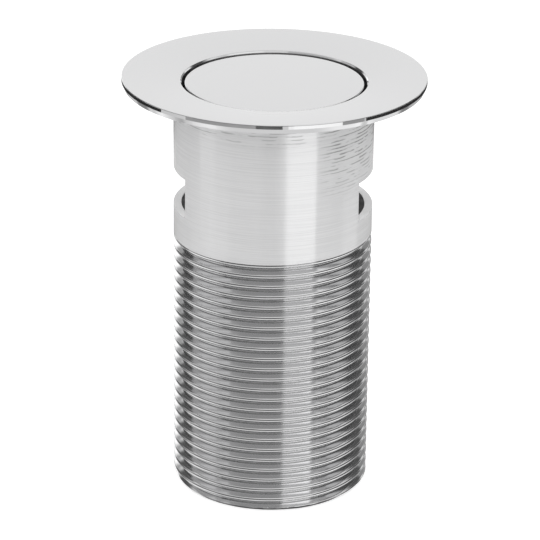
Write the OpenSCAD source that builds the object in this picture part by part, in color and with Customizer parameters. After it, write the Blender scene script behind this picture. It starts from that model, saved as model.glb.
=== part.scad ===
// Slotted basin waste with a flush push-open plug.
// Millimetres, +Z up. The origin is the centre of the tail's open end, and the
// two overflow slots face +X and -X.

/* [Overall] */
// Height from the tail's open end to the top of the flange rim
overall_h = 90; // [86:1:110]

/* [Flange] */
// Outside diameter of the flange
flange_d = 63; // [60:0.5:70]
// How far the mouth lies below the top of the rim
dish_depth = 1.15; // [0.8:0.05:1.5]
// How quickly the dish steepens towards the mouth
dish_curve = 1.3; // [1:0.1:1.6]
// Height of the rim's outer edge, bevel included
rim_h = 1.8; // [1.5:0.1:2.2]
// Height of the bevel under the rim's edge
rim_bevel_h = 1; // [0.6:0.1:1.2]
// How far that bevel runs in
rim_bevel_in = 0.45; // [0.2:0.05:0.8]
// Radius on the rim's top corner
rim_round = 0.15; // [0.1:0.05:0.4]
// Distance from the top of the rim down to the flat seat
seat_drop = 3; // [2.7:0.1:4]
// Outside diameter of the flat seat under the flange
seat_d = 55; // [50:0.5:57]
// Fillet between the seat and the tube
seat_fillet = 0.8; // [0.4:0.1:1.2]

/* [Tube] */
// Outside diameter of the tube and of its 1 1/4 inch pipe thread
tail_d = 41.6; // [41.5:0.05:41.95]
// Wall round the throat, from the mouth to the ledge
throat_wall = 1.65; // [1.5:0.05:1.8]
// Width of the ledge that carries the bridge
ledge_w = 1.15; // [0.9:0.05:1.2]
// Chamfer round the outside of the open end
end_chamfer = 0.9; // [0.5:0.1:1.2]
// Chamfer round the inside of the open end
end_lead = 0.4; // [0.2:0.1:0.6]
// Lead-in chamfer at the mouth
mouth_lead = 0.3; // [0.2:0.05:0.5]

/* [Overflow slots] */
// Distance from the top of the rim down to the top of the slots
slot_drop = 19.5; // [18.5:0.1:21]
// Height of a slot
slot_h = 8.4; // [6:0.1:10]
// Depth of the flat that opens a slot, from the outside of the tube
slot_cut = 2.95; // [2.4:0.05:3.4]

/* [Bridge] */
// How far the bridge's top lies below the slots
bridge_drop = 0.1; // [0.1:0.1:1]
// Thickness of the bridge's ring
bridge_t = 2; // [1.6:0.1:2.6]
// Width of the ring
bridge_ring_w = 1.8; // [1.4:0.1:2.4]
// Number of arms
bridge_arms = 3; // [3:1:4]
// Width of an arm
bridge_arm_w = 2.8; // [2:0.1:4]
// Height of an arm
bridge_arm_h = 3.2; // [2.4:0.1:4]
// Height of the hub
hub_h = 4; // [3:0.2:6]
// Wall of the hub round the cartridge
hub_wall = 2.1; // [1.6:0.1:3]

/* [Cartridge] */
// Bore of the sleeve that guides the plunger
sleeve_bore_d = 10.6; // [10.2:0.1:11.4]
// Wall of the sleeve
sleeve_wall = 1.5; // [1.3:0.1:2]
// Floor of the sleeve under the spring
sleeve_floor_t = 1.5; // [1:0.1:2.5]
// Drain hole in that floor
drain_d = 3; // [2:0.2:4]
// Number of guide ribs in the sleeve
guide_ribs = 4; // [3:1:4]
// Depth of a guide rib
rib_depth = 0.7; // [0.5:0.05:0.8]
// Width of a guide rib
rib_w = 2; // [1.6:0.1:2.4]
// How far the sleeve's shoulder stands out
shoulder_w = 1.8; // [1.4:0.1:2.4]
// Thickness of that shoulder
shoulder_t = 1.5; // [1:0.1:2]
// Thickness of the washer under the hub
washer_t = 0.8; // [0.6:0.1:1.2]
// Height of the nut that holds the cartridge
nut_h = 4; // [3:0.2:5]
// Wall of that nut across its flats
nut_wall = 2.4; // [2:0.1:3]
// Top plate of the collar that closes the sleeve
collar_t = 2.6; // [2.4:0.1:3.2]
// How far the collar's skirt reaches down the sleeve
collar_skirt = 4; // [3:0.2:6]
// Wall of that skirt
collar_wall = 1.5; // [1.2:0.1:2]
// Thickness of the collar's wiper ring
wiper_d = 1; // [0.9:0.05:1.1]

/* [Plunger and spring] */
// Diameter of the plunger's rod
rod_d = 7.6; // [7.4:0.1:7.8]
// Height of the plunger's head
head_h = 3; // [2.6:0.1:4]
// Height of the cam rotor
rotor_h = 4; // [3.6:0.1:5]
// Number of teeth on each crown
crown_teeth = 8; // [6:1:8]
// Depth of the crown teeth
crown_h = 0.8; // [0.5:0.05:1]
// Length of the rotor's pilot inside the spring
pilot_l = 2.8; // [2:0.1:4]
// Length of the spring with the plug closed
spring_l = 11.8; // [11:0.1:14]
// Wire of the spring
spring_wire = 0.8; // [0.6:0.05:0.9]
// Turns of the spring
spring_turns = 7; // [6:1:8]

/* [Plug] */
// Gap between the edge of the plug and the throat
cap_gap = 0.6; // [0.4:0.05:0.9]
// How far the plug lies below the mouth
cap_sink = 0.4; // [0.2:0.05:0.6]
// Thickness of the plug's plate
cap_t = 2.5; // [2.3:0.1:3.2]
// Radius on the plate's top corner
cap_round = 0.25; // [0.15:0.05:0.4]
// Thickness of the seal carrier
carrier_t = 4; // [3.8:0.1:5]
// Thickness of the plug's sealing ring
seal_d = 2.4; // [2:0.1:2.6]
// Diameter of the adjusting stud
stud_d = 5.9; // [5.4:0.1:6]
// Thread depth of the stud in the plunger
stud_in = 7.5; // [5:0.5:8.5]
// Height of the lock nut
lock_nut_h = 3; // [2.4:0.1:4]
// Size of the lock nut across its flats
lock_nut_af = 10; // [10:0.5:13]
// Wall of the plug's threaded boss
boss_wall = 1.6; // [1.3:0.1:1.9]

/* [Movement] */
// How far the plug rises when it opens
plug_rise = 9; // [7:0.5:9.5]
// How far it can be pressed below its closed height
plug_press = 1.5; // [1:0.1:1.8]

/* [Fits] */
// Radial clearance of parts that are fitted together
fit_gap = 0.05; // [0.03:0.01:0.08]
// Clearance between parts that pass each other
pass_gap = 0.15; // [0.1:0.05:0.25]
// Space left at the end of the plug's travel
stop_gap = 0.4; // [0.2:0.1:0.6]

/* [Hidden] */

fine = 128;
cut = 1;
overlap = 0.1;
dish_steps = 6;
corner_steps = 3;

// Radii
tail_r = tail_d / 2;
throat_r = tail_r - throat_wall;
bore_r = throat_r - ledge_w;
mouth_r = throat_r + mouth_lead;
rim_r = flange_d / 2;
flat_x = tail_r - slot_cut;
ring_in_r = throat_r - fit_gap - bridge_ring_w;
sleeve_bore_r = sleeve_bore_d / 2;
sleeve_r = sleeve_bore_r + sleeve_wall;
hub_r = sleeve_r + fit_gap + hub_wall;
rod_r = rod_d / 2;
guide_r = sleeve_bore_r - rib_depth;
core_r = guide_r - pass_gap;
lug_r = sleeve_bore_r - pass_gap;
stud_r = stud_d / 2;
stud_hole_r = stud_r + fit_gap;
boss_r = stud_hole_r + boss_wall;
cap_r = throat_r - cap_gap;
seal_out_r = throat_r - fit_gap;
seal_mid_r = seal_out_r - seal_d / 2;
carrier_r = cap_r - pass_gap;
wiper_mid_r = rod_r + fit_gap + wiper_d / 2;

// Heights of the body and the bridge
rim_z = overall_h;
mouth_z = rim_z - dish_depth;
seat_z = rim_z - seat_drop;
slot_top_z = rim_z - slot_drop;
slot_bottom_z = slot_top_z - slot_h;
deck_z = slot_bottom_z - bridge_drop;
ledge_z = deck_z - bridge_t;
hub_bottom_z = deck_z - hub_h;
washer_bottom_z = hub_bottom_z - washer_t;
nut_bottom_z = washer_bottom_z - nut_h;

// Heights of the plug and what it carries, closed
cap_top_z = mouth_z - cap_sink;
cap_under_z = cap_top_z - cap_t;
carrier_bottom_z = cap_under_z - carrier_t;
lock_nut_bottom_z = carrier_bottom_z - lock_nut_h;
rod_top_z = lock_nut_bottom_z - stop_gap;
collar_top_z = lock_nut_bottom_z - plug_press - stop_gap;
sleeve_top_z = collar_top_z - collar_t;
head_top_z = sleeve_top_z - plug_rise - stop_gap;
head_bottom_z = head_top_z - head_h;
rotor_bottom_z = head_bottom_z - rotor_h;
spring_bottom_z = rotor_bottom_z - spring_l;
sleeve_bottom_z = spring_bottom_z - sleeve_floor_t;
seal_z = cap_under_z - carrier_t / 2;
wiper_z = sleeve_top_z + collar_t / 2;

// A quarter of a circle round (r, z), from angle a to angle b
function corner(r, z, radius, a, b) =
    [for (i = [0 : corner_steps])
        let (t = a + (b - a) * i / corner_steps)
        [r + radius * cos(t), z + radius * sin(t)]];

// Height of the dished face at a share of the way out from mouth to rim
function dish_z(share) = rim_z - dish_depth * pow(1 - share, dish_curve);

// The dished face from the rim in to the mouth
function dish_points() =
    let (out_r = rim_r - rim_round)
    [for (i = [1 : dish_steps])
        let (share = 1 - i / dish_steps)
        [mouth_r + (out_r - mouth_r) * share, dish_z(share)]];

module ring(outer_r, inner_r, bottom_z, top_z) {
    translate([0, 0, bottom_z])
        difference() {
            cylinder(r = outer_r, h = top_z - bottom_z, $fn = fine);
            translate([0, 0, -cut])
                cylinder(r = inner_r, h = top_z - bottom_z + 2 * cut, $fn = fine);
        }
}

module disc(r, bottom_z, top_z) {
    translate([0, 0, bottom_z])
        cylinder(r = r, h = top_z - bottom_z, $fn = fine);
}

module hexagon(across_flats, bottom_z, top_z) {
    translate([0, 0, bottom_z])
        cylinder(r = across_flats / sqrt(3), h = top_z - bottom_z, $fn = 6);
}

module o_ring(mid_r, thickness, z) {
    translate([0, 0, z])
        rotate_extrude($fn = fine)
            translate([mid_r, 0])
                circle(d = thickness, $fn = 32);
}

// Turned profile of the body: tube, flange, throat and ledge in one piece
module body_turning() {
    rotate_extrude($fn = fine)
        polygon(concat(
            [[bore_r, end_lead],
             [bore_r + end_lead, 0],
             [tail_r - end_chamfer, 0],
             [tail_r, end_chamfer]],
            corner(tail_r + seat_fillet, seat_z - seat_fillet, seat_fillet, 180, 90),
            [[seat_d / 2, seat_z],
             [rim_r - rim_bevel_in, rim_z - rim_h],
             [rim_r, rim_z - rim_h + rim_bevel_h]],
            corner(rim_r - rim_round, rim_z - rim_round, rim_round, 0, 90),
            dish_points(),
            [[throat_r, mouth_z - mouth_lead],
             [throat_r, ledge_z],
             [bore_r, ledge_z]]));
}

// Flats milled across the tube, deep enough to break into the throat
module overflow_slots() {
    for (side = [-1, 1])
        translate([side * (flat_x + slot_cut), 0, (slot_top_z + slot_bottom_z) / 2])
            cube([2 * slot_cut, tail_d, slot_h], center = true);
}

module waste_body() {
    color("silver")
        difference() {
            body_turning();
            overflow_slots();
        }
}

module bridge() {
    color("dimgray")
        difference() {
            union() {
                ring(throat_r - fit_gap, ring_in_r, ledge_z, deck_z);
                disc(hub_r, hub_bottom_z, deck_z);
                for (i = [0 : bridge_arms - 1])
                    rotate([0, 0, 90 + 360 * i / bridge_arms])
                        translate([0, -bridge_arm_w / 2, deck_z - bridge_arm_h])
                            cube([ring_in_r - pass_gap, bridge_arm_w, bridge_arm_h]);
                for (i = [0 : bridge_arms - 1])
                    rotate([0, 0, 90 + 360 * i / bridge_arms])
                        translate([0, -bridge_arm_w / 2, ledge_z])
                            cube([ring_in_r + bridge_ring_w / 2, bridge_arm_w, bridge_t]);
            }
            disc(sleeve_r + fit_gap, hub_bottom_z - cut, deck_z + cut);
        }
}

// Bore of the sleeve: a plain spring chamber, then grooves between guide ribs
module sleeve_bore() {
    disc(sleeve_bore_r, spring_bottom_z, head_bottom_z - plug_press);
    translate([0, 0, spring_bottom_z])
        linear_extrude(sleeve_top_z + cut - spring_bottom_z)
            difference() {
                circle(r = sleeve_bore_r, $fn = fine);
                for (i = [0 : guide_ribs - 1])
                    rotate(360 * i / guide_ribs)
                        translate([guide_r, -rib_w / 2])
                            square([2 * rib_depth, rib_w]);
            }
}

module cartridge_sleeve() {
    color("whitesmoke")
        difference() {
            union() {
                disc(sleeve_r, sleeve_bottom_z, sleeve_top_z);
                disc(sleeve_r + shoulder_w, deck_z, deck_z + shoulder_t);
            }
            sleeve_bore();
            disc(drain_d / 2, sleeve_bottom_z - cut, spring_bottom_z + cut);
        }
}

module cartridge_collar() {
    color("white")
        difference() {
            disc(sleeve_r + fit_gap + collar_wall, sleeve_top_z - collar_skirt, collar_top_z);
            disc(sleeve_r + fit_gap, sleeve_top_z - collar_skirt - cut, sleeve_top_z);
            disc(rod_r + fit_gap, sleeve_top_z - cut, collar_top_z + cut);
            disc(wiper_mid_r + wiper_d / 2 + fit_gap, wiper_z - wiper_d / 2 - fit_gap,
                 wiper_z + wiper_d / 2 + fit_gap);
        }
}

module collar_seal() {
    color("dimgray")
        o_ring(wiper_mid_r, wiper_d, wiper_z);
}

module cartridge_washer() {
    color("lightgray")
        ring(hub_r, sleeve_r + fit_gap, washer_bottom_z, hub_bottom_z);
}

module cartridge_nut() {
    color("goldenrod")
        difference() {
            hexagon(2 * (sleeve_r + fit_gap + nut_wall), nut_bottom_z, washer_bottom_z);
            disc(sleeve_r + fit_gap, nut_bottom_z - cut, washer_bottom_z + cut);
        }
}

// Wire swept along the spring's helix, with a dead turn at each end
spring_dead_pitch = spring_wire + fit_gap;
spring_mid_r = sleeve_bore_r - pass_gap - spring_wire;
spring_sides = 8;
spring_rings_per_turn = 16;
spring_rings = spring_turns * spring_rings_per_turn;

function spring_height(turn) =
    let (live_l = spring_l - spring_wire - 2 * spring_dead_pitch - 2 * fit_gap,
         live = min(max((turn - 1) / (spring_turns - 2), 0), 1),
         dead = min(turn, 1) + max(turn - spring_turns + 1, 0))
    spring_wire / 2 + fit_gap + dead * spring_dead_pitch + live * live_l;

function spring_point(ring_number, side_number) =
    let (turn = ring_number / spring_rings_per_turn,
         a = 360 * side_number / spring_sides,
         r = spring_mid_r + spring_wire / 2 * cos(a))
    [r * cos(360 * turn), r * sin(360 * turn),
     spring_bottom_z + spring_height(turn) + spring_wire / 2 * sin(a)];

module return_spring() {
    points = [for (k = [0 : spring_rings], s = [0 : spring_sides - 1]) spring_point(k, s)];
    sides = [for (k = [0 : spring_rings - 1], s = [0 : spring_sides - 1])
        let (n = (s + 1) % spring_sides,
             a = k * spring_sides,
             b = a + spring_sides)
        [a + s, a + n, b + n, b + s]];
    first_end = [for (s = [spring_sides - 1 : -1 : 0]) s];
    last_end = [for (s = [0 : spring_sides - 1]) spring_rings * spring_sides + s];
    color("gray")
        polyhedron(points = points, faces = concat([first_end], sides, [last_end]));
}

// Vee notches cut into the end of a round part, pointing down from height z
module crown_notches(z) {
    half_w = core_r * tan(180 / crown_teeth);
    for (i = [0 : crown_teeth - 1])
        rotate([0, 0, 360 * i / crown_teeth])
            translate([0, 0, z])
                rotate([90, 0, 90])
                    linear_extrude(2 * core_r)
                        polygon([[-half_w, overlap], [half_w, overlap], [0, -crown_h]]);
}

// Lugs that run in the grooves between the guide ribs
module guide_lugs(bottom_z, top_z) {
    translate([0, 0, bottom_z])
        linear_extrude(top_z - bottom_z)
            difference() {
                circle(r = lug_r, $fn = fine);
                circle(r = core_r - fit_gap, $fn = fine);
                for (i = [0 : guide_ribs - 1])
                    rotate(360 * i / guide_ribs)
                        translate([0, -rib_w / 2 - pass_gap])
                            square([2 * lug_r, rib_w + 2 * pass_gap]);
            }
}

module cam_rotor() {
    color("ivory")
        difference() {
            union() {
                disc(core_r, rotor_bottom_z, head_bottom_z - fit_gap);
                guide_lugs(rotor_bottom_z, head_bottom_z - crown_h - fit_gap);
                disc(spring_mid_r - spring_wire / 2 - pass_gap, rotor_bottom_z - pilot_l,
                     rotor_bottom_z + overlap);
            }
            crown_notches(head_bottom_z - fit_gap);
        }
}

module plunger() {
    color("ivory")
        difference() {
            union() {
                disc(core_r, head_bottom_z, head_top_z);
                guide_lugs(head_bottom_z, head_top_z);
                disc(rod_r, head_top_z - overlap, rod_top_z);
            }
            disc(stud_hole_r, rod_top_z - stud_in - cut, rod_top_z + cut);
            translate([0, 0, head_bottom_z])
                rotate([180, 0, 180 / crown_teeth])
                    crown_notches(0);
        }
}

module adjusting_stud() {
    color("silver")
        disc(stud_r, rod_top_z - stud_in, cap_under_z + cap_t / 3);
}

module lock_nut() {
    color("silver")
        difference() {
            hexagon(lock_nut_af, lock_nut_bottom_z, carrier_bottom_z);
            disc(stud_hole_r, lock_nut_bottom_z - cut, carrier_bottom_z + cut);
        }
}

module seal_carrier() {
    groove_r = seal_mid_r - seal_d / 2 - fit_gap;
    groove_half = seal_d / 2 + fit_gap;
    color("lightgray")
        difference() {
            disc(carrier_r, carrier_bottom_z, cap_under_z);
            ring(carrier_r + cut, groove_r, seal_z - groove_half, seal_z + groove_half);
            disc(boss_r + fit_gap, carrier_bottom_z - cut, cap_under_z + cut);
        }
}

module plug_seal() {
    color("black")
        o_ring(seal_mid_r, seal_d, seal_z);
}

module plug_cap() {
    color("silver")
        difference() {
            union() {
                rotate_extrude($fn = fine)
                    polygon(concat(
                        [[0, cap_under_z],
                         [cap_r, cap_under_z]],
                        corner(cap_r - cap_round, cap_top_z - cap_round, cap_round, 0, 90),
                        [[0, cap_top_z]]));
                disc(boss_r, carrier_bottom_z, cap_under_z + overlap);
            }
            disc(stud_hole_r, carrier_bottom_z - cut, cap_under_z + cap_t / 2);
        }
}

waste_body();
bridge();
cartridge_sleeve();
cartridge_collar();
collar_seal();
cartridge_washer();
cartridge_nut();
return_spring();
cam_rotor();
plunger();
adjusting_stud();
lock_nut();
seal_carrier();
plug_seal();
plug_cap();
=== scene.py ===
import math

import bmesh
import bpy
from mathutils import Matrix, Vector


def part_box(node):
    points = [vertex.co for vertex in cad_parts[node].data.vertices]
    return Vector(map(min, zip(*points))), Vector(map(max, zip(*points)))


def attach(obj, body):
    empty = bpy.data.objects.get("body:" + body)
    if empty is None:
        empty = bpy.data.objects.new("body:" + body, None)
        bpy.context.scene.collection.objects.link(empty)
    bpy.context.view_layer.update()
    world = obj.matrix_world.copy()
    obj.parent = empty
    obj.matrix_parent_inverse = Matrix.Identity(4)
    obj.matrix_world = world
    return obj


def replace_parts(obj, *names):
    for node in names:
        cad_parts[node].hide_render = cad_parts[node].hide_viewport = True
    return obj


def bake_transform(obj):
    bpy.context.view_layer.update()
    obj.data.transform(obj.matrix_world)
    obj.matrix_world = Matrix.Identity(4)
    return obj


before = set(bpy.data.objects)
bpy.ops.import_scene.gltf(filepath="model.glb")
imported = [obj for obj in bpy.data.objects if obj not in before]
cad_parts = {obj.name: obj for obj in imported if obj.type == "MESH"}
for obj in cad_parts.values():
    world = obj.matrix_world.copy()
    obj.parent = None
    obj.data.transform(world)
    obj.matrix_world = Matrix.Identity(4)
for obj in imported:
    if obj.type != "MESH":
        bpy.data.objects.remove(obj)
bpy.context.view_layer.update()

MM = 0.001
TURN = 2 * math.pi
same_point = 0.0005

# Sizes of the body in millimetres, from the CAD boxes where they give them
rim_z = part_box("waste_body")[1].z / MM
rim_r = 31.5
rim_round = 0.12
rim_bevel_in = 0.45
rim_bevel_h = 1.0
rim_h = 1.8
flange_t = 3
seat_z = rim_z - flange_t
seat_r = 27.5
seat_fillet = 0.8
tail_r = 20.8
throat_r = 19.15
mouth_r = 19.45
mouth_ease = 0.3
dish_depth = 1.15
dish_curve = 1.3
mouth_z = rim_z - dish_depth
ledge_z = 60.0
bore_r = 18.0
slot_low, slot_top = 62.1, 70.5
flat_x = 17.85
end_chamfer = 0.9
end_lead = 0.4

# The plug and the cartridge
cap_low, cap_high = (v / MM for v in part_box("plug_cap"))
carrier_low, carrier_high = (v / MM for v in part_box("seal_carrier"))
seal_low, seal_high = (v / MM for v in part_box("plug_seal"))
stud_low, stud_high = (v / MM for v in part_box("adjusting_stud"))
sleeve_low, sleeve_high = (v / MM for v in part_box("cartridge_sleeve"))
spring_low, spring_high = (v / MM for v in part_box("return_spring"))
cap_t = 2.5
boss_r = 4.6
stud_hole_r = 3.0
sleeve_r = 6.8
sleeve_bore_r = 5.3
spring_wire = 0.8
fit_gap = 0.05

# Pipe thread on the tail
pitch = 2.309
flank_angle = 27.5
crest_round = 0.42
root_round = 0.38
first_crest = 55.8
thread_top = 58.2
thread_turns = 27
steps_per_turn = 144

# Finishes of the body, in the order of its materials; the last is a hazier, lighter copy of the
# chrome for faces that look up, painted light
POLISHED, TURNED, THREADED, BORED, HAZY_LIT_TOP = range(5)


# Meshes

def finished(bm, name, materials, body, smooth=35):
    """Makes the bmesh, still in millimetres, a piece that rides on a body, if one is named."""
    bmesh.ops.remove_doubles(bm, verts=bm.verts, dist=same_point)
    bmesh.ops.scale(bm, vec=(MM, MM, MM), verts=bm.verts)
    mesh = bpy.data.meshes.new(name)
    bm.to_mesh(mesh)
    bm.free()
    mesh.shade_smooth()
    mesh.set_sharp_from_angle(angle=math.radians(smooth))
    for material in materials:
        mesh.materials.append(material)
    piece = bpy.data.objects.new(name, mesh)
    bpy.context.scene.collection.objects.link(piece)
    if body:
        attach(piece, body)
    return piece


def outline(bm, points, closed=True):
    """Lays points (radius, height) as a chain of edges in the XZ plane."""
    verts = [bm.verts.new((r, 0, z)) for r, z in points]
    edges = [bm.edges.new(pair) for pair in zip(verts, verts[1:])]
    if closed:
        edges.append(bm.edges.new((verts[-1], verts[0])))
    return verts + edges


def turned(points, steps=160, closed=True):
    """A full turning of an outline about the Z axis, faces outwards."""
    bm = bmesh.new()
    bmesh.ops.spin(bm, geom=outline(bm, points, closed), cent=(0, 0, 0), axis=(0, 0, 1),
                   angle=TURN, steps=steps, use_merge=True)
    bmesh.ops.remove_doubles(bm, verts=bm.verts, dist=same_point)
    bmesh.ops.recalc_face_normals(bm, faces=bm.faces)
    return bm


def arc(r, z, radius, start, end, steps=6):
    """Points of an arc round (r, z), angles in degrees."""
    angles = [math.radians(start + (end - start) * i / steps) for i in range(steps + 1)]
    return [(r + radius * math.cos(a), z + radius * math.sin(a)) for a in angles]


def dish_z(share):
    """Height of the dished top, from the mouth at 0 out to the rim at 1."""
    return rim_z - dish_depth * (1 - share) ** dish_curve


def thread_pitch():
    """One pitch of the thread, root to root, as (radius, height)."""
    lean = 90 - flank_angle
    crest = arc(tail_r - crest_round, pitch / 2, crest_round, -lean, 0, 6)
    flank_r, flank_z = crest[0]
    root_in = root_round * (1 - math.cos(math.radians(lean)))
    root_up = root_round * math.sin(math.radians(lean))
    root_r = flank_r - root_in - (flank_z - root_up) / math.tan(math.radians(flank_angle))
    half = arc(root_r + root_round, 0, root_round, 180, 180 - lean, 3) + crest
    return half + [(r, pitch - z) for r, z in reversed(half[:-1])]


def fine_thread(r, depth):
    """One pitch of a one millimetre thread with straight flanks, root to root."""
    return [(r - depth, 0), (r - depth, 0.08), (r - 0.03, 0.42), (r, 0.46), (r, 0.54),
            (r - 0.03, 0.58), (r - depth, 0.92), (r - depth, 1)]


def wound(points, turns, steps):
    """A thread wound up the axis from one pitch of its outline."""
    rise = points[-1][1] - points[0][1]
    bm = bmesh.new()
    bmesh.ops.spin(bm, geom=outline(bm, points, closed=False), cent=(0, 0, 0), axis=(0, 0, 1),
                   angle=TURN, steps=steps, dvec=(0, 0, rise / steps))
    one_turn = bm.verts[:] + bm.edges[:] + bm.faces[:]
    for number in range(1, turns):
        copy = bmesh.ops.duplicate(bm, geom=one_turn)["geom"]
        bmesh.ops.translate(bm, vec=(0, 0, rise * number),
                            verts=[g for g in copy if isinstance(g, bmesh.types.BMVert)])
    bmesh.ops.remove_doubles(bm, verts=bm.verts, dist=same_point)
    return bm


def narrowed(bm, widest):
    """Draws every point in to the widest radius allowed at its height."""
    for v in bm.verts:
        r = math.hypot(v.co.x, v.co.y)
        share = min(r, widest(v.co.z)) / r
        v.co.x *= share
        v.co.y *= share


def trimmed(bm, low, high):
    """Cuts a thread off square at two heights; returns its lower and upper edge loops."""
    for height, side in ((low, -1), (high, 1)):
        bmesh.ops.bisect_plane(bm, geom=bm.verts[:] + bm.edges[:] + bm.faces[:],
                               plane_co=(0, 0, height), plane_no=(0, 0, side),
                               clear_outer=True)
    rims = [e for e in bm.edges if e.is_boundary]
    return ([e for e in rims if max(v.co.z for v in e.verts) < low + 0.01],
            [e for e in rims if min(v.co.z for v in e.verts) > high - 0.01])


def carried_on(bm, loop, path):
    """Carries an edge loop on, ring by ring, through (radius, height) points."""
    for r, z in path:
        grown = bmesh.ops.extrude_edge_only(bm, edges=loop)["geom"]
        for v in (g for g in grown if isinstance(g, bmesh.types.BMVert)):
            flat = Vector((v.co.x, v.co.y, 0)).normalized() * r
            v.co = (flat.x, flat.y, z)
        loop = [g for g in grown if isinstance(g, bmesh.types.BMEdge)]
    return loop


def combined(bm, other, operation, materials=()):
    """A Boolean of two closed bmeshes."""
    rough = []
    for source in (bm, other):
        mesh = bpy.data.meshes.new("rough")
        source.to_mesh(mesh)
        source.free()
        for material in materials:
            mesh.materials.append(material)
        rough.append(bpy.data.objects.new("rough", mesh))
        bpy.context.scene.collection.objects.link(rough[-1])
    cut = rough[0].modifiers.new("cut", "BOOLEAN")
    cut.operation, cut.solver, cut.object = operation, "EXACT", rough[1]
    made = bmesh.new()
    made.from_object(rough[0], bpy.context.evaluated_depsgraph_get())
    for holder in rough:
        mesh = holder.data
        bpy.data.objects.remove(holder)
        bpy.data.meshes.remove(mesh)
    return made


def block(low, high, turn=0.0, bm=None):
    """A box between two corners, turned about the axis."""
    bm = bm or bmesh.new()
    low, high = Vector(low), Vector(high)
    bmesh.ops.create_cube(bm, size=1, matrix=Matrix.Rotation(turn, 4, "Z")
                          @ Matrix.Translation((low + high) / 2)
                          @ Matrix.Diagonal((*(high - low), 1)))
    return bm


def body_mesh():
    """The body in one closed skin: thread first, then ring by ring round the outline."""
    bm = wound(thread_pitch(), thread_turns, steps_per_turn)
    # The groove runs out at the back, and the tube ends in a fine step above its first crest
    groove_end, run_out = thread_turns - 1.75, 0.12
    step_turns, step_h = 0.75, 0.25

    def depth_share(x, y, z):
        """How much of its depth the groove has at a point of the wound thread."""
        around = (math.atan2(y, x) / TURN) % 1
        root = round(z / pitch - around) + around
        over_crest = (z / pitch - root + 0.5) * pitch
        if groove_end < root <= groove_end + step_turns and over_crest < step_h:
            return 1
        return min(1, max(0, (groove_end - root) / run_out))

    for face in bm.faces:
        cut = depth_share(*face.calc_center_median()) > 0
        face.material_index = THREADED if cut else TURNED
    for v in bm.verts:
        r = math.hypot(v.co.x, v.co.y)
        wanted = tail_r - (tail_r - r) * depth_share(*v.co)
        v.co.x *= wanted / r
        v.co.y *= wanted / r
    bmesh.ops.translate(bm, verts=bm.verts, vec=(0, 0, first_crest - groove_end * pitch))
    narrowed(bm, lambda z: tail_r - end_chamfer + max(z, 0))
    bottom, loop = trimmed(bm, 0.0, thread_top)
    clear = 2
    tube = [(tail_r, slot_low - clear), (tail_r, slot_top + clear),
            (tail_r, seat_z - seat_fillet - clear)]
    fillet = arc(tail_r + seat_fillet, seat_z - seat_fillet, seat_fillet, 180, 90, 6)
    flange = [(seat_r, seat_z), (rim_r - rim_bevel_in, rim_z - rim_h),
              (rim_r, rim_z - rim_h + rim_bevel_h), (rim_r, rim_z - rim_round - 0.03)]
    rim = arc(rim_r - rim_round, rim_z - rim_round, rim_round, 0, 90, 5)
    dish = [(mouth_r + (rim_r - rim_round - mouth_r) * s, dish_z(s))
            for s in (0.99, 0.9, 0.75, 0.6, 0.45, 0.3, 0.2, 0.1, 0.05, 0)]
    throat = [(mouth_r - 0.08, mouth_z - 0.04), (throat_r, mouth_z - mouth_ease),
              (throat_r, slot_top + clear), (throat_r, slot_low - clear / 2),
              (throat_r, ledge_z)]
    bore = [(bore_r, z) for z in (ledge_z, 45, 30, 15, end_lead)] + [(bore_r + end_lead, 0)]
    loop = carried_on(bm, loop, tube + fillet + flange + rim + dish + throat + bore)
    bmesh.ops.bridge_loops(bm, edges=loop + bottom)
    bmesh.ops.recalc_face_normals(bm, faces=bm.faces)
    return bm


# Shader nodes

class Nodes:
    """A material's or the world's nodes, emptied, with short ways to add and join them."""

    def __init__(self, owner):
        owner.use_nodes = True
        self.tree = owner.node_tree
        self.tree.nodes.clear()

    def add(self, kind, inputs=None, **settings):
        node = self.tree.nodes.new(kind)
        for key, value in settings.items():
            setattr(node, key, value)
        for key, value in (inputs or {}).items():
            self.put(node.inputs[key], value)
        return node

    def put(self, socket, value):
        if isinstance(value, bpy.types.Node):
            value = value.outputs[0]
        if isinstance(value, bpy.types.NodeSocket):
            self.tree.links.new(value, socket)
        else:
            socket.default_value = value

    def sum(self, operation, a, b=0.0, c=0.0):
        return self.add("ShaderNodeMath", {0: a, 1: b, 2: c}, operation=operation).outputs[0]

    def vector(self, operation, a, b=(0, 0, 0)):
        node = self.add("ShaderNodeVectorMath", {0: a, 1: b}, operation=operation)
        return node.outputs["Value" if operation == "DOT_PRODUCT" else "Vector"]

    def ramp(self, value, low, high, first=0.0, last=1.0):
        return self.add("ShaderNodeMapRange",
                        {"Value": value, "From Min": low, "From Max": high,
                         "To Min": first, "To Max": last},
                        interpolation_type="SMOOTHSTEP").outputs[0]

    def mix(self, share, first, last):
        return self.add("ShaderNodeMix", {0: share, 2: first, 3: last},
                        data_type="FLOAT").outputs[0]

    def scaled(self, sizes):
        here = self.add("ShaderNodeTexCoord").outputs["Object"]
        return self.add("ShaderNodeMapping", {"Vector": here, "Scale": sizes}).outputs[0]

    def noise(self, sizes, detail):
        return self.add("ShaderNodeTexNoise",
                        {"Vector": self.scaled(sizes), "Scale": 1.0, "Detail": detail,
                         "Roughness": 0.6}).outputs["Fac"]


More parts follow.
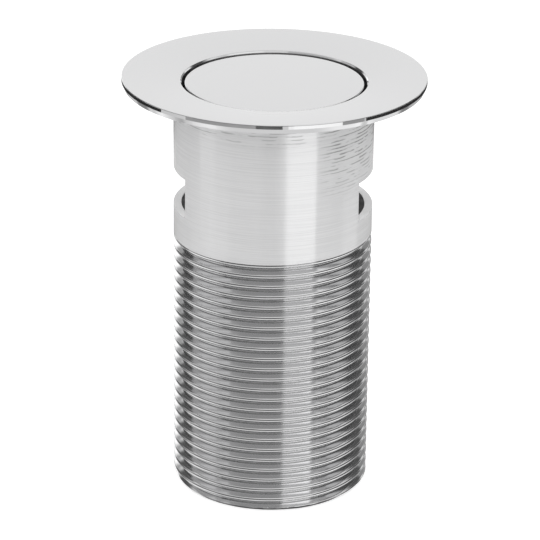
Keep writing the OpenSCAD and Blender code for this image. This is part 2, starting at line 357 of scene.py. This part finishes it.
def marks_with_painted_reflection(n, depth):
    """Broken marks of the turning tool under the flange and on the right of the tube, darkened
    there as a painted dark reflection.
    """
    feed, bend, right_side = 0.75 * MM, 6, (0.86, -0.5, 0)
    here = n.scaled((1, 1, 1))
    height = n.add("ShaderNodeSeparateXYZ", {0: here}).outputs["Z"]
    sideways = n.vector("DOT_PRODUCT", here, right_side)
    broken = n.noise((230, 230, 900), 2.0)
    wave = n.sum("SINE", n.sum("MULTIPLY_ADD", height, TURN / feed,
                               n.sum("MULTIPLY", broken, bend)))
    marks = n.sum("MULTIPLY", n.ramp(wave, 0.1, 0.9, 0, depth), n.ramp(broken, 0.44, 0.56))
    # Where the marks show: a painted dark reflection under the flange and on the right of the
    # tube
    reflection_under_flange = n.ramp(height, 80.5 * MM, 83.5 * MM, 0, 0.6)
    reflection_on_right = n.sum("MULTIPLY", n.ramp(height, 66 * MM, 80 * MM),
                     n.ramp(sideways, 16.8 * MM, 19.6 * MM))
    return n.sum("MULTIPLY", marks, n.sum("MAXIMUM", reflection_under_flange, reflection_on_right))


def metal(name, colour, roughness, streaks=0.0, bump=0.0, smears=0.0, satin=0.0,
          chatter_and_reflection_depth=0.0):
    """Metal with turning marks round the axis: streaks tint it, chatter marks darken it as a
    painted dark reflection, bump cuts it.
    """
    material = bpy.data.materials.new(name)
    n = Nodes(material)
    shader = n.add("ShaderNodeBsdfPrincipled", {"Base Color": (*colour, 1),
                                                "Roughness": roughness, "Metallic": 1 - satin})
    n.add("ShaderNodeOutputMaterial", {"Surface": shader})
    rings = n.noise((60, 60, 5200), 3.0)
    if streaks:
        tint = n.ramp(rings, 0.3, 0.7, 1 - streaks, 1.0)
        # Chatter marks darken the colour: a painted dark reflection under the flange and on the
        # right of the tube
        if chatter_and_reflection_depth:
            unmarked_unreflected = n.sum("SUBTRACT", 1.0, marks_with_painted_reflection(n, chatter_and_reflection_depth))
            tint = n.sum("MULTIPLY", tint, unmarked_unreflected)
        shade = n.add("ShaderNodeVectorMath", {0: colour, "Scale": tint}, operation="SCALE")
        n.put(shader.inputs["Base Color"], shade.outputs[0])
    if bump:
        n.put(shader.inputs["Normal"], n.add("ShaderNodeBump", {
            "Strength": bump, "Distance": 0.02 * MM, "Height": rings}))
    if smears:
        n.put(shader.inputs["Roughness"],
              n.ramp(n.noise((90, 90, 90), 4.0), 0.25, 0.75, roughness * (1 - smears),
                     roughness * (1 + smears)))
    return material


def moulded(name, colour, roughness, grain):
    """Plastic or rubber with a faint cloudy skin."""
    material = bpy.data.materials.new(name)
    n = Nodes(material)
    shader = n.add("ShaderNodeBsdfPrincipled", {"Base Color": (*colour, 1)})
    n.add("ShaderNodeOutputMaterial", {"Surface": shader})
    cloud = n.noise((700, 700, 700), 3.0)
    n.put(shader.inputs["Roughness"],
          n.ramp(cloud, 0.3, 0.7, roughness * 0.85, roughness * 1.15))
    n.put(shader.inputs["Normal"], n.add("ShaderNodeBump", {
        "Strength": 0.3, "Distance": grain * MM, "Height": cloud}))
    return material


chrome = metal("polished_chrome", (0.685, 0.685, 0.69), 0.04, smears=0.35)
# A hazier, lighter copy of the chrome for the tops: its lighter colour is painted light on
# faces that look up
top_chrome = metal("hazy_painted_lit_chrome", (0.745, 0.745, 0.75), 0.06, smears=0.35, satin=0.4)
# The turned tube's chatter marks are a painted dark reflection under the flange and on its
# right
turned_chrome = metal("turned_chrome", (0.97, 0.97, 0.975), 0.15, streaks=0.1, bump=0.3,
                      satin=0.78, chatter_and_reflection_depth=0.55)
thread_chrome = metal("thread_chrome", (0.74, 0.74, 0.745), 0.1, bump=0.07)
bore_chrome = metal("bore_chrome", (0.66, 0.66, 0.665), 0.32, bump=0.3)
brass = metal("turned_brass", (0.72, 0.55, 0.3), 0.25, streaks=0.12, bump=0.2)
steel = metal("bright_steel", (0.62, 0.62, 0.61), 0.2, streaks=0.08, smears=0.3)
acetal = moulded("white_acetal", (0.8, 0.8, 0.77), 0.4, 0.01)
grey_acetal = moulded("grey_acetal", (0.3, 0.31, 0.33), 0.45, 0.01)
polyamide = moulded("black_polyamide", (0.03, 0.03, 0.032), 0.6, 0.02)
rubber = moulded("black_rubber", (0.025, 0.025, 0.026), 0.6, 0.03)


# Pieces

def make_body():
    """The body, with two milled flats that open its slots."""
    finishes = [chrome, turned_chrome, thread_chrome, bore_chrome, top_chrome]
    flats, cutter_w, cutter_half = bmesh.new(), 10, 20
    for side in (-1, 1):
        block((side * (flat_x + cutter_w), -cutter_half, slot_low),
              (side * flat_x, cutter_half, slot_top), bm=flats)
    bmesh.ops.recalc_face_normals(flats, faces=flats.faces)
    bm = combined(body_mesh(), flats, "DIFFERENCE", finishes)
    for face in bm.faces:
        c = face.calc_center_median()
        r = math.hypot(c.x, c.y)
        if abs(face.normal.z) > 0.9 and slot_low - 0.1 < c.z < slot_top + 0.1:
            face.material_index = TURNED
        elif r < throat_r + 0.02 and c.z < mouth_z - mouth_ease - 0.05:
            face.material_index = BORED
        # Faces of the dished top that look up take the lighter copy of the chrome: painted
        # light
        elif c.z > mouth_z - 0.02 and face.normal.z > 0.9:
            face.material_index = HAZY_LIT_TOP
        elif c.z > seat_z - seat_fillet:
            face.material_index = POLISHED
        elif c.z > thread_top:
            face.material_index = TURNED
    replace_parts(finished(bm, "turned_body", finishes, "waste", 22),
                "waste_body")


def make_cap():
    """The flat plate, its boss and the blind hole of the stud."""
    r, top, under = cap_high.x, cap_high.z, cap_high.z - cap_t
    hole_top = top - cap_t * 2 / 3
    rim_ease, foot_ease, boss_ease, hole_ease = 0.25, 0.15, 0.25, 0.3
    bm = turned([(0, top), (r - rim_ease - 0.05, top)]
                + arc(r - rim_ease, top - rim_ease, rim_ease, 80, 0, 5)
                + [(r, under + foot_ease), (r - foot_ease, under),
                   (boss_r, under), (boss_r, cap_low.z + boss_ease),
                   (boss_r - boss_ease, cap_low.z), (stud_hole_r + hole_ease, cap_low.z),
                   (stud_hole_r, cap_low.z + hole_ease), (stud_hole_r, hole_top),
                   (0, hole_top)],
                closed=False)
    # The plate's top face takes the lighter copy of the chrome: painted light
    for face in bm.faces:
        face.material_index = int(face.calc_center_median().z > top - 0.001)
    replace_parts(finished(bm, "plug_plate", [chrome, top_chrome], "plug"),
                "plug_cap")


def sealing_ring(name, node, body, steps):
    """A rubber ring of round section, as thick as its CAD box is high."""
    low, high = (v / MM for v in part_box(node))
    half = (high.z - low.z) / 2
    bm = turned(arc(high.x - half, low.z + half, half, 0, 345, 23), steps)
    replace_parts(finished(bm, name, [rubber], body), node)


def make_carrier():
    """The disc under the plate, with a groove for the sealing ring."""
    r, low, high = carrier_high.x, carrier_low.z, carrier_high.z
    mid, half = (seal_high.z + seal_low.z) / 2, (seal_high.z - seal_low.z) / 2 + fit_gap
    groove_r, hole_r = seal_high.x - 2 * half + fit_gap, boss_r + fit_gap
    hole_ease, foot_ease, lip_ease = 0.3, 0.4, 0.1
    bm = turned([(hole_r, low + hole_ease), (hole_r + hole_ease, low), (r - foot_ease, low),
                 (r, low + foot_ease), (r, mid - half - lip_ease), (r - lip_ease, mid - half),
                 (groove_r, mid - half), (groove_r, mid + half), (r - lip_ease, mid + half),
                 (r, mid + half + lip_ease), (r, high), (hole_r, high)])
    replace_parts(finished(bm, "seal_holder", [acetal], "plug"),
                "seal_carrier")


def make_stud():
    """The threaded stud between the plate and the rod, chamfered at both ends."""
    depth, turns, steps, end_ease = 0.55, 18, 48, 0.6
    bm = wound(fine_thread(stud_high.x, depth), turns, steps)
    bmesh.ops.translate(bm, verts=bm.verts, vec=(0, 0, stud_low.z - 1))
    narrowed(bm, lambda z: stud_high.x - end_ease + max(0, min(z - stud_low.z,
                                                               stud_high.z - z)))
    for loop in trimmed(bm, stud_low.z, stud_high.z):
        bmesh.ops.edgeloop_fill(bm, edges=loop)
    bmesh.ops.recalc_face_normals(bm, faces=bm.faces)
    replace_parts(finished(bm, "threaded_stud", [steel], "plug"), "adjusting_stud")


def nut(name, node, hole_r, chamfer, material, body):
    """A hexagon nut as large as its CAD box, its corners turned off on both faces."""
    low, high = (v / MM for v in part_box(node))
    flats, corner = sorted((high.x, high.y))
    bm = bmesh.new()
    bmesh.ops.create_cone(bm, cap_ends=True, segments=6, radius1=corner, radius2=corner,
                          depth=high.z - low.z,
                          matrix=Matrix.Translation((0, 0, (high.z + low.z) / 2))
                          @ Matrix.Rotation(math.radians(30 if high.x > high.y else 0), 4, "Z"))
    face_r, beyond_r = flats * 0.96, corner + 0.5
    drop = (corner - face_r) * math.tan(math.radians(30)) + 0.3
    blank = turned([(hole_r, low.z + chamfer), (hole_r + chamfer, low.z), (face_r, low.z),
                    (beyond_r, low.z + drop), (beyond_r, high.z - drop), (face_r, high.z),
                    (hole_r + chamfer, high.z), (hole_r, high.z - chamfer)], 96)
    bm = combined(bm, blank, "INTERSECT")
    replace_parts(finished(bm, name, [material], body), node)


def make_sleeve():
    """The cartridge's sleeve: thread, shoulder, bore with four guide ribs, drain hole."""
    depth, turns, steps, end_ease, neck = 0.45, 16, 72, 0.5, 0.4
    thread_high, floor_top, drain_r = ledge_z - 2, spring_low.z - fit_gap, 1.5
    shoulder_r, shoulder_low, shoulder_high, shoulder_ease = (
        sleeve_high.x, ledge_z + 2, ledge_z + 3.5, 0.2)
    rib_depth, rib_half, rib_low, rib_high = 0.7, 1, ledge_z + 0.55, sleeve_high.z - 0.1
    bm = wound(fine_thread(sleeve_r, depth), turns, steps)
    bmesh.ops.translate(bm, verts=bm.verts, vec=(0, 0, sleeve_low.z - 1))
    narrowed(bm, lambda z: sleeve_r - end_ease + max(0, z - sleeve_low.z))
    bottom, loop = trimmed(bm, sleeve_low.z, thread_high)
    loop = carried_on(bm, loop, [
        (sleeve_r, thread_high + neck), (sleeve_r, shoulder_low),
        (shoulder_r, shoulder_low), (shoulder_r, shoulder_high - shoulder_ease),
        (shoulder_r - shoulder_ease, shoulder_high), (sleeve_r, shoulder_high),
        (sleeve_r, sleeve_high.z), (sleeve_bore_r, sleeve_high.z), (sleeve_bore_r, floor_top),
        (drain_r, floor_top), (drain_r, sleeve_low.z)])
    bmesh.ops.bridge_loops(bm, edges=loop + bottom)
    bmesh.ops.recalc_face_normals(bm, faces=bm.faces)
    ribs = bmesh.new()
    for quarter in range(4):
        block((sleeve_bore_r - rib_depth, -rib_half, rib_low),
              (sleeve_bore_r + rib_depth, rib_half, rib_high), quarter * TURN / 4, ribs)
    bm = combined(bm, ribs, "UNION")
    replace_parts(finished(bm, "cartridge_tube", [acetal], "waste"),
                "cartridge_sleeve")


def make_spring():
    """The coil spring, with one dead turn at each end."""
    r, z = spring_high.x - spring_wire / 2, spring_low.z + spring_wire / 2
    live_turns, steps = 5, 40
    dead = spring_wire + fit_gap
    live = (spring_high.z - spring_low.z - spring_wire - 2 * dead) / live_turns
    bm = bmesh.new()
    wire = outline(bm, arc(r, z, spring_wire / 2, 0, 324, 9))
    first = [g for g in wire if isinstance(g, bmesh.types.BMEdge)]
    for turns, rise in ((1, dead), (live_turns, live), (1, dead)):
        wire = bmesh.ops.spin(bm, geom=wire, cent=(0, 0, 0), axis=(0, 0, 1),
                              angle=TURN * turns, steps=steps * turns,
                              dvec=(0, 0, rise / steps))["geom_last"]
    for loop in (first, [g for g in wire if isinstance(g, bmesh.types.BMEdge)]):
        bmesh.ops.edgeloop_fill(bm, edges=loop)
    bmesh.ops.recalc_face_normals(bm, faces=bm.faces)
    piece = finished(bm, "coil_spring", [steel], None)
    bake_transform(piece)
    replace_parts(piece, "return_spring")


def eased(name, node, ease, material, body):
    """A copy of the CAD piece with its sharp edges broken."""
    bm = bmesh.new()
    bm.from_mesh(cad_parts[node].data)
    bmesh.ops.scale(bm, vec=(1 / MM,) * 3, verts=bm.verts)
    bmesh.ops.remove_doubles(bm, verts=bm.verts, dist=2 * same_point)
    bmesh.ops.dissolve_limit(bm, angle_limit=math.radians(1), verts=bm.verts, edges=bm.edges)
    sharp = [e for e in bm.edges if len(e.link_faces) == 2
             and e.calc_face_angle() > math.radians(30)]
    bmesh.ops.bevel(bm, geom=sharp, offset=ease, offset_type="OFFSET", affect="EDGES",
                    segments=2, profile=0.5, material=-1, clamp_overlap=True)
    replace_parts(finished(bm, name, [material], body), node)


make_body()
make_cap()
sealing_ring("plug_ring", "plug_seal", "plug", 160)
make_carrier()
make_stud()
nut("stud_nut", "lock_nut", stud_hole_r, 0.3, steel, "plug")
make_sleeve()
make_spring()
eased("drop_in_bridge", "bridge", 0.15, polyamide, "waste")
eased("sleeve_collar", "cartridge_collar", 0.2, acetal, "waste")
sealing_ring("rod_ring", "collar_seal", "waste", 64)
eased("thin_washer", "cartridge_washer", 0.1, steel, "waste")
nut("hub_nut", "cartridge_nut", sleeve_r + fit_gap, 0.4, brass, "waste")
eased("turning_cam", "cam_rotor", 0.08, grey_acetal, "plug")
eased("push_rod", "plunger", 0.12, grey_acetal, "plug")


# Camera, fitted to the photograph
target = Vector((-0.448, 0, 46.56)) * MM
distance = 0.6112
elevation, azimuth, roll = math.radians(22.352), math.radians(1.3), math.radians(0.677)
back = Vector((math.cos(elevation) * math.sin(azimuth),
               -math.cos(elevation) * math.cos(azimuth), math.sin(elevation)))
right = Vector((math.cos(azimuth), math.sin(azimuth), 0))
up = back.cross(right)
camera_data = bpy.data.cameras.new("camera")
camera_data.lens, camera_data.sensor_width = 192.73, 36
camera_data.clip_start, camera_data.clip_end = 0.01, 20
camera = bpy.data.objects.new("camera", camera_data)
bpy.context.scene.collection.objects.link(camera)
turn = Matrix((right * math.cos(roll) + up * math.sin(roll),
               up * math.cos(roll) - right * math.sin(roll), back)).transposed().to_4x4()
camera.matrix_world = Matrix.Translation(target + back * distance) @ turn
bpy.context.scene.camera = camera

# What the metal mirrors: white all round, with darker and brighter cards in it, each over
# those before it. In degrees: azimuth from the front towards +X, half its width, lowest and
# highest elevation, blur of its edge. Then its level, where 1 is white
cards = [
    (180, 180, 44, 91, 4, 0.76),
    (-60, 40, 40, 76, 6, 0.6),
    (0, 22, 40, 80, 6, 0.9),
    (50, 28, 38, 80, 5, 1.1),
    (-4, 136, -16, 36, 4, 0.1),
    (148, 16, 25, 46, 2.5, 0.1),
    (-146, 18, 26, 42, 2.5, 0.1),
    (-157, 8, -10, 17, 3, 1.4),
    (152, 15, -17.5, 12, 2, 0.35),
    (153, 9, 15, 27, 2, 0.3),
    (-153, 9, 19, 27, 2, 0.4),
    (-114, 9, 13, 50, 4, 0.6),
    (34, 18, -18, 36, 2, 0.4),
    (-84, 24, -17, 8, 2, 0.5),
    (-85, 16, -20, -13.5, 1, 0.85),
    (0, 106, -38, -20, 1, 0.5),
    (-143, 37, -38, -20.5, 1.5, 0.3),
    (143, 37, -38, -20.5, 1.5, 0.3),
    (-40, 90, -55, -38, 6, 0.64),
    (75, 32, -55, -38, 6, 1.5),
    (-165, 17, -38, -25, 2, 0.7),
    (165, 17, -38, -25, 2, 0.55),
    (180, 180, -91, -56, 6, 1.2),
    (0, 90, -82, -62, 3, 0.88),
    (180, 80, -74, -52, 3, 0.08),
    (180, 30, -54, -38, 3, 0.12),
    (-18, 40, -36, -22, 4, 0.42),
    (78, 18, -41, -24, 4, 1.5),
    (82, 20, -24, -20, 1.5, 0.45),
    (104, 13, -26, -20.3, 1.5, 0.62),
    (95, 21, -19.5, -10, 2, 0.76),
    (104, 14, -36, -23, 1.5, 1.1),
    (-84, 42, -46, -29, 8, 0.65),
    (-98, 26, -46, -28, 6, 1.5),
    (36, 19, -58, -26, 4, 0.76),
    (-66, 15, -29, -22.8, 1, 0.85),
    (34, 18, -23.5, -14, 1, 1.7),
    (-137, 46, -19.75, -18, 0.15, 0.03),
    (127, 54, -19.75, -18, 0.15, 0.03),
    (-84, 8, -19.75, -18, 0.15, 0.8),
    (-40, 28, -19.75, -18, 0.15, 0.42),
    (-2, 10, -19.75, -18, 0.15, 0.05),
    (33, 21, -19.75, -18, 0.15, 1.3),
    (63, 9, -19.75, -18, 0.15, 0.4),
]


def edge(wave, degrees, low, high):
    """The sine or cosine of an edge's angle, kept within the angles that it can have."""
    return wave(math.radians(min(high, max(low, degrees))))


def studio(n, direction):
    """The level of the studio in a direction."""
    unit = n.vector("NORMALIZE", direction)
    height = n.add("ShaderNodeSeparateXYZ", {0: unit}).outputs["Z"]
    flat = n.vector("NORMALIZE", n.vector("MULTIPLY", unit, (1, 1, 0)))
    level, least = 1.0, 1e-4
    for turn_to, half, low, high, blur, wanted in cards:
        foot = [edge(math.sin, low + side, -90, 90) for side in (-blur, blur)]
        head = [edge(math.sin, high + side, -90, 90) for side in (-blur, blur)]
        sides = [edge(math.cos, half - side, 0, 180) for side in (-blur, blur)]
        mask = n.sum("MULTIPLY", n.ramp(height, foot[0], foot[1] + least),
                     n.ramp(height, head[0], head[1] + least, 1, 0))
        if half < 180:
            a = math.radians(turn_to)
            facing = n.vector("DOT_PRODUCT", flat, (math.sin(a), -math.cos(a), 0))
            mask = n.sum("MULTIPLY", mask, n.ramp(facing, *sides))
        level = n.mix(mask, level, wanted)
    return level


# The world: white to the camera, the studio to metal, and a plain pale light on the rest
world = bpy.data.worlds.new("studio")
bpy.context.scene.world = world
n = Nodes(world)
rays = n.add("ShaderNodeLightPath")
mirrored = n.sum("MAXIMUM", rays.outputs["Is Glossy Ray"], rays.outputs["Is Transmission Ray"])
plain_light = 0.8
level = n.mix(mirrored, plain_light,
              studio(n, n.add("ShaderNodeTexCoord").outputs["Generated"]))
n.add("ShaderNodeOutputWorld", {"Surface": n.add("ShaderNodeBackground", {
    "Color": (1, 1, 1, 1), "Strength": n.mix(rays.outputs["Is Camera Ray"], level, 1.0)})})

# Floor: white to the camera apart from the shadow, clear from below, and left out of
# what the metal mirrors
bm = bmesh.new()
bmesh.ops.create_grid(bm, x_segments=1, y_segments=1, size=4)
mesh = bpy.data.meshes.new("floor")
bm.to_mesh(mesh)
bm.free()
floor = bpy.data.objects.new("floor", mesh)
bpy.context.scene.collection.objects.link(floor)
floor.visible_glossy = floor.visible_transmission = False
floor_paint = bpy.data.materials.new("floor_paint")
mesh.materials.append(floor_paint)
n = Nodes(floor_paint)
rays = n.add("ShaderNodeLightPath")
paint = n.add("ShaderNodeBsdfDiffuse", {"Color": (0.85, 0.85, 0.85, 1)})
lift = n.add("ShaderNodeEmission", {"Strength": 0.55})
both = n.add("ShaderNodeAddShader", {0: paint, 1: lift})
lit = n.add("ShaderNodeMixShader", {0: rays.outputs["Is Camera Ray"], 1: paint, 2: both})
clear = n.add("ShaderNodeBsdfTransparent")
below = n.add("ShaderNodeNewGeometry").outputs["Backfacing"]
n.add("ShaderNodeOutputMaterial", {
    "Surface": n.add("ShaderNodeMixShader", {0: below, 1: lit, 2: clear})})

bpy.context.scene.view_settings.view_transform = "Standard"
